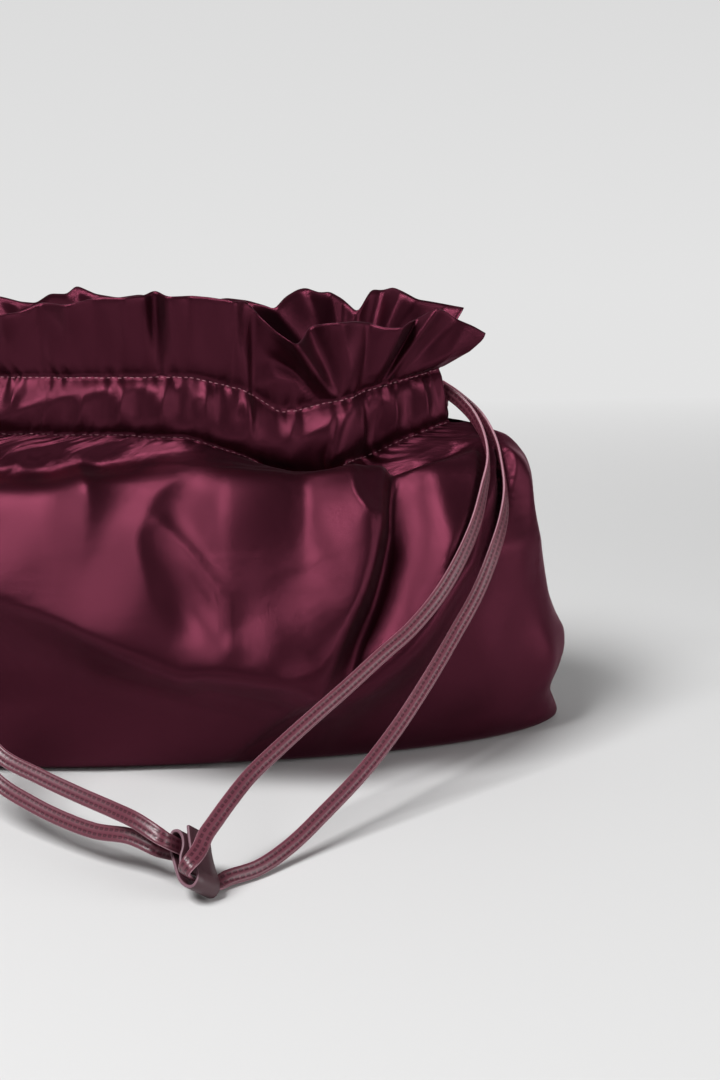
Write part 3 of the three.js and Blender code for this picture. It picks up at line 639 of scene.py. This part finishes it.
def centripetal(points, per_span):
    """A centripetal Catmull-Rom curve through points, with per_span steps between two of them."""
    p = np.asarray(points, float)
    p = np.vstack([2 * p[0] - p[1], p, 2 * p[-1] - p[-2]])
    out = []
    for i in range(1, len(p) - 2):
        q = p[i - 1:i + 3]
        gap = np.maximum(np.linalg.norm(np.diff(q[:, :3], axis=0), axis=1) ** 0.5, 1e-4)
        t0, t1, t2, t3 = 0, gap[0], gap[0] + gap[1], gap.sum()
        t = np.linspace(t1, t2, per_span, endpoint=False)[:, None]
        a1 = (t1 - t) / (t1 - t0) * q[0] + (t - t0) / (t1 - t0) * q[1]
        a2 = (t2 - t) / (t2 - t1) * q[1] + (t - t1) / (t2 - t1) * q[2]
        a3 = (t3 - t) / (t3 - t2) * q[2] + (t - t2) / (t3 - t2) * q[3]
        b1 = (t2 - t) / (t2 - t0) * a1 + (t - t0) / (t2 - t0) * a2
        b2 = (t3 - t) / (t3 - t1) * a2 + (t - t1) / (t3 - t1) * a3
        out.append((t2 - t) / (t2 - t1) * b1 + (t - t1) / (t2 - t1) * b2)
    out.append(p[-2][None])
    return np.vstack(out)


def resampled(line, step):
    """A line's rows at even distances of about one step, and the line's length."""
    run = run_along(line[:, :3])
    count = max(2, int(round(run[-1] / step)) + 1)
    at = np.linspace(0, run[-1], count)
    return np.stack([np.interp(at, run, line[:, k]) for k in range(line.shape[1])], 1), run[-1]


def strap_frame(line):
    """Directions along a strap, across its width and out of its face."""
    along = unit(np.gradient(line[:, :3], axis=0))
    width = line[:, 3:] - along * (line[:, 3:] * along).sum(1, keepdims=True)
    return along, unit(width), np.cross(along, unit(width))


def tube(rings):
    """Vertices and faces that join rings of equal size. Both ends stay open."""
    count, size = rings.shape[:2]
    i, j = np.meshgrid(np.arange(count - 1), np.arange(size), indexing="ij")
    k = (j + 1) % size
    faces = np.stack([i * size + j, i * size + k, (i + 1) * size + k, (i + 1) * size + j], -1).reshape(-1, 4)
    return rings.reshape(-1, 3), faces


def strap_section():
    """Points round a strap: faces sunk along the two stitch rows and domed between them."""
    w, h = STRAP_WIDTH / 2, STRAP_THICKNESS / 2
    right = [(0.4, h), (0.8, h * 0.9), (STITCH_ROW, h * 0.78), (1.6, h * 0.86), (w - 0.95, h * 0.95),
             (w - 0.45, h * 0.86), (w - 0.12, h * 0.5)]
    top = [(-x, y) for x, y in right[::-1]] + [(0, h * 1.04)] + right
    return np.array([(-w, 0)] + top + [(w, 0)] + [(x, -y) for x, y in top[::-1]])


def strap_mesh(name, line):
    """A strap along a line, its two edges in the paler colour of cut leather."""
    _, width, across = strap_frame(line)
    section = strap_section()
    rings = line[:, None, :3] + section[None, :, :1] * width[:, None] + section[None, :, 1:] * across[:, None]
    vertices, faces = tube(rings)
    size = len(section)
    at_edge = np.isin(faces[:, 0] % size, [0, size // 2 - 1, size // 2, size - 1])
    run = run_along(line[:, :3])
    counted = run / run[-1] * max(1, round(run[-1] / STITCH_PITCH))
    uvs = np.stack(np.broadcast_arrays(counted[:, None], section[None, :, 0]), -1).reshape(-1, 2)
    strap = new_mesh(name, vertices, faces.tolist(), (strap_leather, cut_edge), at_edge, uvs)
    return strap


# A thread: six points round it, in shares of its length and half width, then two along its crest
THREAD_OUTLINE = [(-0.5, 0), (-0.3, 0.8), (0.3, 0.8), (0.5, 0), (0.3, -0.8), (-0.3, -0.8)]
THREAD_CREST = 0.24
THREAD_SUNK = 0.1
THREAD_FACES = [(0, 5, 6), (6, 1, 0), (1, 6, 7), (1, 7, 2), (2, 7, 3), (3, 7, 4), (4, 7, 6), (4, 6, 5)]


def small_stitches(name, middles, alongs, ups, length, width, height, material):
    """Short rounded threads, one at each middle."""
    sides = unit(np.cross(ups, alongs))
    vertices, faces = [], []
    for m, a, s, n in zip(middles, alongs, sides, ups):
        base = len(vertices)
        for x, y in THREAD_OUTLINE:
            vertices.append(m + a * (x * length) + s * (y * width / 2) - n * THREAD_SUNK)
        for x in (-THREAD_CREST, THREAD_CREST):
            vertices.append(m + a * (x * length) + n * height)
        faces += [[base + k for k in loop] for loop in THREAD_FACES]
    return new_mesh(name, vertices, faces, (material,))


STITCH_SLANT = 0.3
STITCH_LIFT = 0.385


def strap_stitches(name, line):
    """Two rows of slanted threads on each face of a strap."""
    stops, _ = resampled(line, STITCH_PITCH)
    along, width, across = strap_frame(stops)
    middles, alongs, ups = [], [], []
    for face in (-1, 1):
        for row in (-1, 1):
            lift = across * face * STRAP_THICKNESS * STITCH_LIFT
            middles.append(stops[:, :3] + width * row * STITCH_ROW + lift)
            alongs.append(unit(along + STITCH_SLANT * width))
            ups.append(across * face)
    piece = small_stitches(name, np.vstack(middles), np.vstack(alongs), np.vstack(ups),
                           length=1.5, width=0.5, height=0.15, material=strap_thread)
    return piece


CURVE_STEPS = 24
STRAP_STEP = 1.2


def strap_line(near, folded, far):
    """A strap's free run through the keeper and back, and its length."""
    return resampled(centripetal(near + in_keeper(folded).tolist() + far, CURVE_STEPS), STRAP_STEP)


right_line, right_length = strap_line(RIGHT_NEAR, RIGHT_IN_KEEPER, RIGHT_FAR)
left_line, left_length = strap_line(LEFT_NEAR, LEFT_IN_KEEPER, LEFT_FAR)
strap_points = np.vstack([right_line[:, :3], left_line[:, :3]])

# How the cloth gives way to a strap: only beyond this X, the room kept to the strap's middle line, how
# wide the dent is, and how far behind the cloth a strap still counts
PRESS_FROM_X = 80
PRESS_ROOM = 2.2
PRESS_REACH = 4.6
PRESS_BEHIND = 9
PRESS_BATCH = 4000


def clear_of_straps(places, normals, free):
    """Presses the cloth in where it would reach a strap that hangs in front of it."""
    flat = places.reshape(-1, 3)
    n_flat = normals.reshape(-1, 3)
    near = (free.reshape(-1) & (flat[:, 0] ** 2 > PRESS_FROM_X ** 2)).nonzero()[0]
    for start in range(0, len(near), PRESS_BATCH):
        part = near[start:start + PRESS_BATCH]
        offset = strap_points[None, ::3] - flat[part, None]
        distance = np.sqrt((offset ** 2).sum(-1))
        best = distance.argmin(1)
        rows = np.arange(len(part))
        ahead = (offset[rows, best] * n_flat[part]).sum(1)
        aside = np.sqrt(np.maximum(distance[rows, best] ** 2 - ahead ** 2, 0))
        fade = np.exp(-(aside / PRESS_REACH) ** 4)
        press = np.maximum(0, PRESS_ROOM - ahead) * fade * (ahead > -PRESS_BEHIND)
        flat[part] -= n_flat[part] * press[:, None]
    return flat.reshape(places.shape)


LEVEL_STEPS = 1200


def level_rows(count, low, high):
    """Levels at even distances up the middle of the plain wall."""
    fine = np.linspace(low, high, LEVEL_STEPS)
    run = run_along(wall(FRONT, np.zeros(LEVEL_STEPS), fine))
    return np.interp(np.linspace(0, run[-1], count), run, fine)


SEAM_U = 0.995
LIFT_FROM, LIFT_LEVELS = 0.15, 1.2
END_FROM, END_LENGTH = 0.66, 0.26


def cloth_places(side, u, level, inward):
    """Places and normals of a layer of cloth that lies inward of the outer surface."""
    base = wall(side, u, level)
    normal = grid_normals(base, side)
    at_seam = (np.abs(u) > SEAM_U) & (level < SHOULDER - 0.4)
    normal[..., 1] = np.where(at_seam, 0, normal[..., 1])
    normal[level < -0.5] = (0, 0, -1)
    normal = unit(normal)
    off_floor = smooth_step((level - LIFT_FROM) / LIFT_LEVELS)
    out = relief(side, u, level, base, normal) * off_floor
    places = base + normal * (out - inward)[..., None]
    places[..., 2] += hang(side, u, level, base[..., 0])
    near_end = smooth_step((np.abs(u) - END_FROM) / END_LENGTH)
    places[..., 0] += np.sign(u) * eased(END_SHAPE, 1, level) * near_end
    places[..., 2] = np.maximum(places[..., 2], np.where(level < 0.5, inward * 0.9, 0))
    below = level < SHOULDER + 0.6
    return clear_of_straps(places, normal, below), normal


def grid_faces(rows, columns):
    i, j = np.meshgrid(np.arange(rows - 1), np.arange(columns - 1), indexing="ij")
    a = i * columns + j
    return np.stack([a, a + 1, a + columns + 1, a + columns], -1).reshape(-1, 4)


def facing_out(side, faces):
    return faces[:, ::-1] if side == BACK else faces


def side_hems(rows, inner_rows, columns):
    """Faces that join the outer ply to the turned-over one along both sides of a panel."""
    faces = []
    for k in range(inner_rows - 1):
        outer = (rows - 1 - k) * columns
        inner = (rows + k) * columns
        for column in (0, columns - 1):
            quad = [outer + column, outer - columns + column, inner + columns + column, inner + column]
            faces.append(quad if column == 0 else quad[::-1])
    return faces


HEM_END = 9.65
HEM_WIDTH = 0.012
LIP_LEVELS = 0.12
CASING_SLACK = 4.4
UV_PER_MM = 0.01


def panel_depth(u, level, rows):
    """How deep a panel's points lie. The rows after the first ones are the ply turned inside."""
    turned = np.arange(len(level))[:, None] >= rows
    casing = np.sin(np.pi * casing_share(level)) ** 0.7
    lip = np.clip((TOP - level) / LIP_LEVELS, 0, 1)
    inner = (2.0 * PLY + casing * (CASING_ROOM + CASING_SLACK)) * (0.5 + 0.5 * lip)
    depth = np.where(turned, inner, (1 - lip) * 0.5)
    side_hem = np.clip((1 - np.abs(u)) / HEM_WIDTH, 0, 1)
    pinched = turned & ((level < LOW_ROW) | (level > HIGH_ROW))
    return np.where(pinched, depth * (0.45 + 0.55 * side_hem), depth)


def make_panel(name, side, columns, rows):
    """One sheet: up the outside from the base's seam, over the top edge and down inside to its hem."""
    levels = level_rows(rows, SEAM, TOP)
    inner = levels[levels >= HEM_END][::-1]
    uu, ll = np.meshgrid(np.linspace(-1, 1, columns), np.concatenate([levels, inner]))
    inward = panel_depth(uu, ll, rows)
    outer, normals = cloth_places(side, uu[:rows], ll[:rows], inward[:rows])
    turned, _ = cloth_places(side, uu[rows:][::-1], ll[rows:][::-1], inward[rows:][::-1])
    places = np.vstack([outer, turned[::-1]])
    faces = np.vstack([grid_faces(len(places), columns), side_hems(rows, len(inner), columns)])
    run_u = run_along(outer[rows // 3])
    run_v = run_along(places[:, columns // 2])
    uvs = np.stack(np.meshgrid(run_u, run_v), -1).reshape(-1, 2) * UV_PER_MM
    panel = new_mesh(name, places.reshape(-1, 3), facing_out(side, faces).tolist(), (satin,), uvs=uvs)
    return panel, outer, normals, levels


LINING_TOP = 9.3
LINING_DEPTH = 2.3


def make_lining(name, side, columns, rows):
    """The lining of one half, up to just under the casing's hem."""
    uu, ll = np.meshgrid(np.linspace(-1, 1, columns), level_rows(rows, SEAM, LINING_TOP))
    places, _ = cloth_places(side, uu, ll, np.full(uu.shape, LINING_DEPTH))
    faces = facing_out(side, grid_faces(rows, columns))
    lining = new_mesh(name, places.reshape(-1, 3), faces.tolist(), (lining_cloth,))
    return lining


ROW_STITCH_PITCH = 2.7
ROW_STITCH_LIFT = 0.05


def row_stitches(name, outer, normals, levels):
    """Stitches along the casing's two rows."""
    middles, alongs, ups = [], [], []
    for level in (LOW_ROW, HIGH_ROW):
        row = int(np.argmin(np.abs(levels - level)))
        stops, _ = resampled(np.hstack([outer[row], normals[row]]), ROW_STITCH_PITCH)
        middles.append(stops[1:-1, :3] + stops[1:-1, 3:] * ROW_STITCH_LIFT)
        alongs.append(unit(np.gradient(stops[:, :3], axis=0))[1:-1])
        ups.append(unit(stops[1:-1, 3:]))
    piece = small_stitches(name, np.vstack(middles), np.vstack(alongs), np.vstack(ups),
                           length=1.9, width=0.5, height=0.25, material=thread)
    return piece


# Columns and rows of each sheet of cloth
LINING_GRID = (120, 90)
FRONT_GRID, BACK_GRID = (300, 216), (240, 180)

front, front_places, front_normals, front_levels = make_panel("front_satin", FRONT, *FRONT_GRID)
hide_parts("front_panel")
back, back_places, back_normals, back_levels = make_panel("back_satin", BACK, *BACK_GRID)
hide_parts("back_panel")
front_inside = make_lining("front_lining_cloth", FRONT, *LINING_GRID)
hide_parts("front_lining")
back_inside = make_lining("back_lining_cloth", BACK, *LINING_GRID)
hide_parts("back_lining")
front_rows_of_thread = row_stitches("front_casing_stitches", front_places, front_normals, front_levels)
back_rows_of_thread = row_stitches("back_casing_stitches", back_places, back_normals, back_levels)

# Straps: each free run is a cord, and the run inside the casing is a piece of its own
right_strap = strap_mesh("right_strap_free", right_line)
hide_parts("strap_right")
left_strap = strap_mesh("left_strap_free", left_line)
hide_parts("strap_left")
right_thread = strap_stitches("right_strap_stitches", right_line)
left_thread = strap_stitches("left_strap_stitches", left_line)

CASING_POINTS = 60
CASING_INSET = 3.0
CASING_TURN_X = 107
CASING_CURVE_STEPS = 4
CASING_STEP = 2.0


def casing_run(name, node, out, share, free_line):
    """The strap's run inside the casing, from one end of its free run round to the other."""
    levels = np.full(CASING_POINTS, LOW_ROW + (HIGH_ROW - LOW_ROW) * share)
    runs = []
    for side, start in ((FRONT, out), (BACK, -out)):
        u = np.linspace(start, -start, CASING_POINTS)
        base = wall(side, u, levels)
        inner = base + np.array((0, -side, 0)) * CASING_INSET
        inner[:, 2] += hang(side, u, levels, base[:, 0])
        runs.append(inner)
    turn = [[-out * CASING_TURN_X, 0, runs[0][-1, 2]]]
    line = np.vstack([runs[0][2:], turn, runs[1][:-2]])
    line = np.hstack([line, np.tile((0, 0, 1.0), (len(line), 1))])
    line = np.vstack([free_line[:1], line, free_line[-1:]])
    line, _ = resampled(centripetal(line, CASING_CURVE_STEPS), CASING_STEP)
    hidden = strap_mesh(name, line)
    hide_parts(node)


casing_run("right_strap_in_casing", "strap_right", 1, 0.64, right_line)
casing_run("left_strap_in_casing", "strap_left", -1, 0.36, left_line)

KEEPER_STEPS = 10
KEEPER_EDGE = 0.3


def make_keeper():
    """The folded strip, with its long edges and both cut ends in a paler tone."""
    profile = centripetal([(b, h, 0) for b, h in KEEPER_LINE], KEEPER_STEPS)[:, :2]
    tangent = unit(np.gradient(profile, axis=0))
    normal = np.stack([-tangent[:, 1], tangent[:, 0]], 1)
    half, w = KEEPER_THICKNESS / 2, KEEPER_WIDTH
    lower = [(0, -half * 0.5), (KEEPER_EDGE, -half), (w * 0.35, -half),
             (w * 0.65, -half), (w - KEEPER_EDGE, -half), (w, -half * 0.5)]
    ring = lower + [(a, -t) for a, t in lower[::-1]]
    rings = []
    for p, n in zip(profile, normal):
        local = np.array([(a, p[0] + n[0] * t, p[1] + n[1] * t) for a, t in ring])
        rings.append(KEEPER_PLACE + local @ keeper_frame)
    vertices, faces = tube(np.array(rings))
    size = len(ring)
    at_edge = np.isin(faces[:, 0] % size, [0, 4, 5, 6, 10, 11])
    last = (len(rings) - 1) * size
    caps = [list(range(size)), list(range(last, last + size))[::-1]]
    tones = np.concatenate([at_edge, [True, True]])
    piece = new_mesh("keeper_fold", vertices, faces.tolist() + caps, (keeper_leather, keeper_rim), tones)
    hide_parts("keeper")
    return piece


keeper = make_keeper()

# Floor and backdrop, in metres: a sheet that bends up behind the object
FLOOR_HALF_WIDTH = 3.0
FLOOR_FRONT = -3.0
BEND_FROM = 1.2
BEND_RADIUS = 0.8
BEND_STEPS = 12
BACKDROP_TOP = 4.0
FLOOR_GREY = 0.68
BACKDROP_LOW_GREY = 0.77
BACKDROP_HIGH_GREY = 0.64


def floor_material():
    """Plain paint. Far from the object the camera sees an even pale tone, a little darker at the top."""
    material, tree, shader = node_material("floor_paint")
    shader.inputs["Base Color"].default_value = (*[FLOOR_GREY] * 3, 1)
    shader.inputs["Roughness"].default_value = 0.7
    place = tree.nodes.new("ShaderNodeTexCoord")
    parts = tree.nodes.new("ShaderNodeSeparateXYZ")
    tree.links.new(place.outputs["Object"], parts.inputs[0])
    far = add_node(tree, "ShaderNodeMapRange", From_Min=0.15, From_Max=1.1)
    tree.links.new(parts.outputs[1], far.inputs[0])
    height = add_node(tree, "ShaderNodeMapRange", From_Min=0.1, From_Max=1.2)
    tree.links.new(parts.outputs[2], height.inputs[0])
    pale = tree.nodes.new("ShaderNodeEmission")
    tone = mixed_colour(tree, height.outputs[0], [BACKDROP_LOW_GREY] * 3, [BACKDROP_HIGH_GREY] * 3)
    tree.links.new(tone, pale.inputs[0])
    rays = tree.nodes.new("ShaderNodeLightPath")
    seen = worked_out(tree, "MAXIMUM", rays.outputs["Is Camera Ray"], rays.outputs["Is Glossy Ray"])
    share = worked_out(tree, "MULTIPLY", far.outputs[0], seen)
    blend = tree.nodes.new("ShaderNodeMixShader")
    tree.links.new(share, blend.inputs[0])
    tree.links.new(shader.outputs[0], blend.inputs[1])
    tree.links.new(pale.outputs[0], blend.inputs[2])
    tree.links.new(blend.outputs[0], tree.nodes["Material Output"].inputs[0])
    return material


def make_floor():
    line = [(FLOOR_FRONT, 0), (BEND_FROM, 0)]
    for k in range(1, BEND_STEPS + 1):
        angle = math.pi / 2 * k / BEND_STEPS
        line.append((BEND_FROM + BEND_RADIUS * math.sin(angle), BEND_RADIUS - BEND_RADIUS * math.cos(angle)))
    line.append((BEND_FROM + BEND_RADIUS, BACKDROP_TOP))
    vertices = [(x, y, z) for y, z in line for x in (-FLOOR_HALF_WIDTH, FLOOR_HALF_WIDTH)]
    faces = [(2 * k, 2 * k + 1, 2 * k + 3, 2 * k + 2) for k in range(len(line) - 1)]
    mesh = bpy.data.meshes.new("floor")
    mesh.from_pydata(vertices, [], faces)
    mesh.materials.append(floor_material())
    mesh.shade_smooth()
    floor = bpy.data.objects.new("floor", mesh)
    bpy.context.scene.collection.objects.link(floor)


# Light, in metres and watts
WORLD_COLOUR = (1.0, 0.99, 0.985, 1)
WORLD_STRENGTH = 0.17
LAMP_AIM = (0, 0, 0.1)


def make_world():
    world = bpy.data.worlds.new("world")
    world.use_nodes = True
    world.node_tree.nodes["Background"].inputs[0].default_value = WORLD_COLOUR
    world.node_tree.nodes["Background"].inputs[1].default_value = WORLD_STRENGTH
    bpy.context.scene.world = world


def make_lamp(name, place, size, power):
    """A soft rectangular lamp that looks at the pouch."""
    data = bpy.data.lights.new(name, "AREA")
    data.shape = "RECTANGLE"
    data.size = size[0]
    data.size_y = size[1]
    data.energy = power
    lamp = bpy.data.objects.new(name, data)
    bpy.context.scene.collection.objects.link(lamp)
    lamp.location = place
    aim = Vector(LAMP_AIM) - Vector(place)
    lamp.rotation_euler = aim.to_track_quat("-Z", "Y").to_euler()


make_floor()
make_world()
make_lamp("window", place=(-1.05, -0.8, 1.9), size=(0.9, 0.8), power=56)
make_lamp("side_card", place=(1.25, -0.85, 0.5), size=(1.0, 0.8), power=9)
bpy.context.scene.view_settings.view_transform = "Standard"
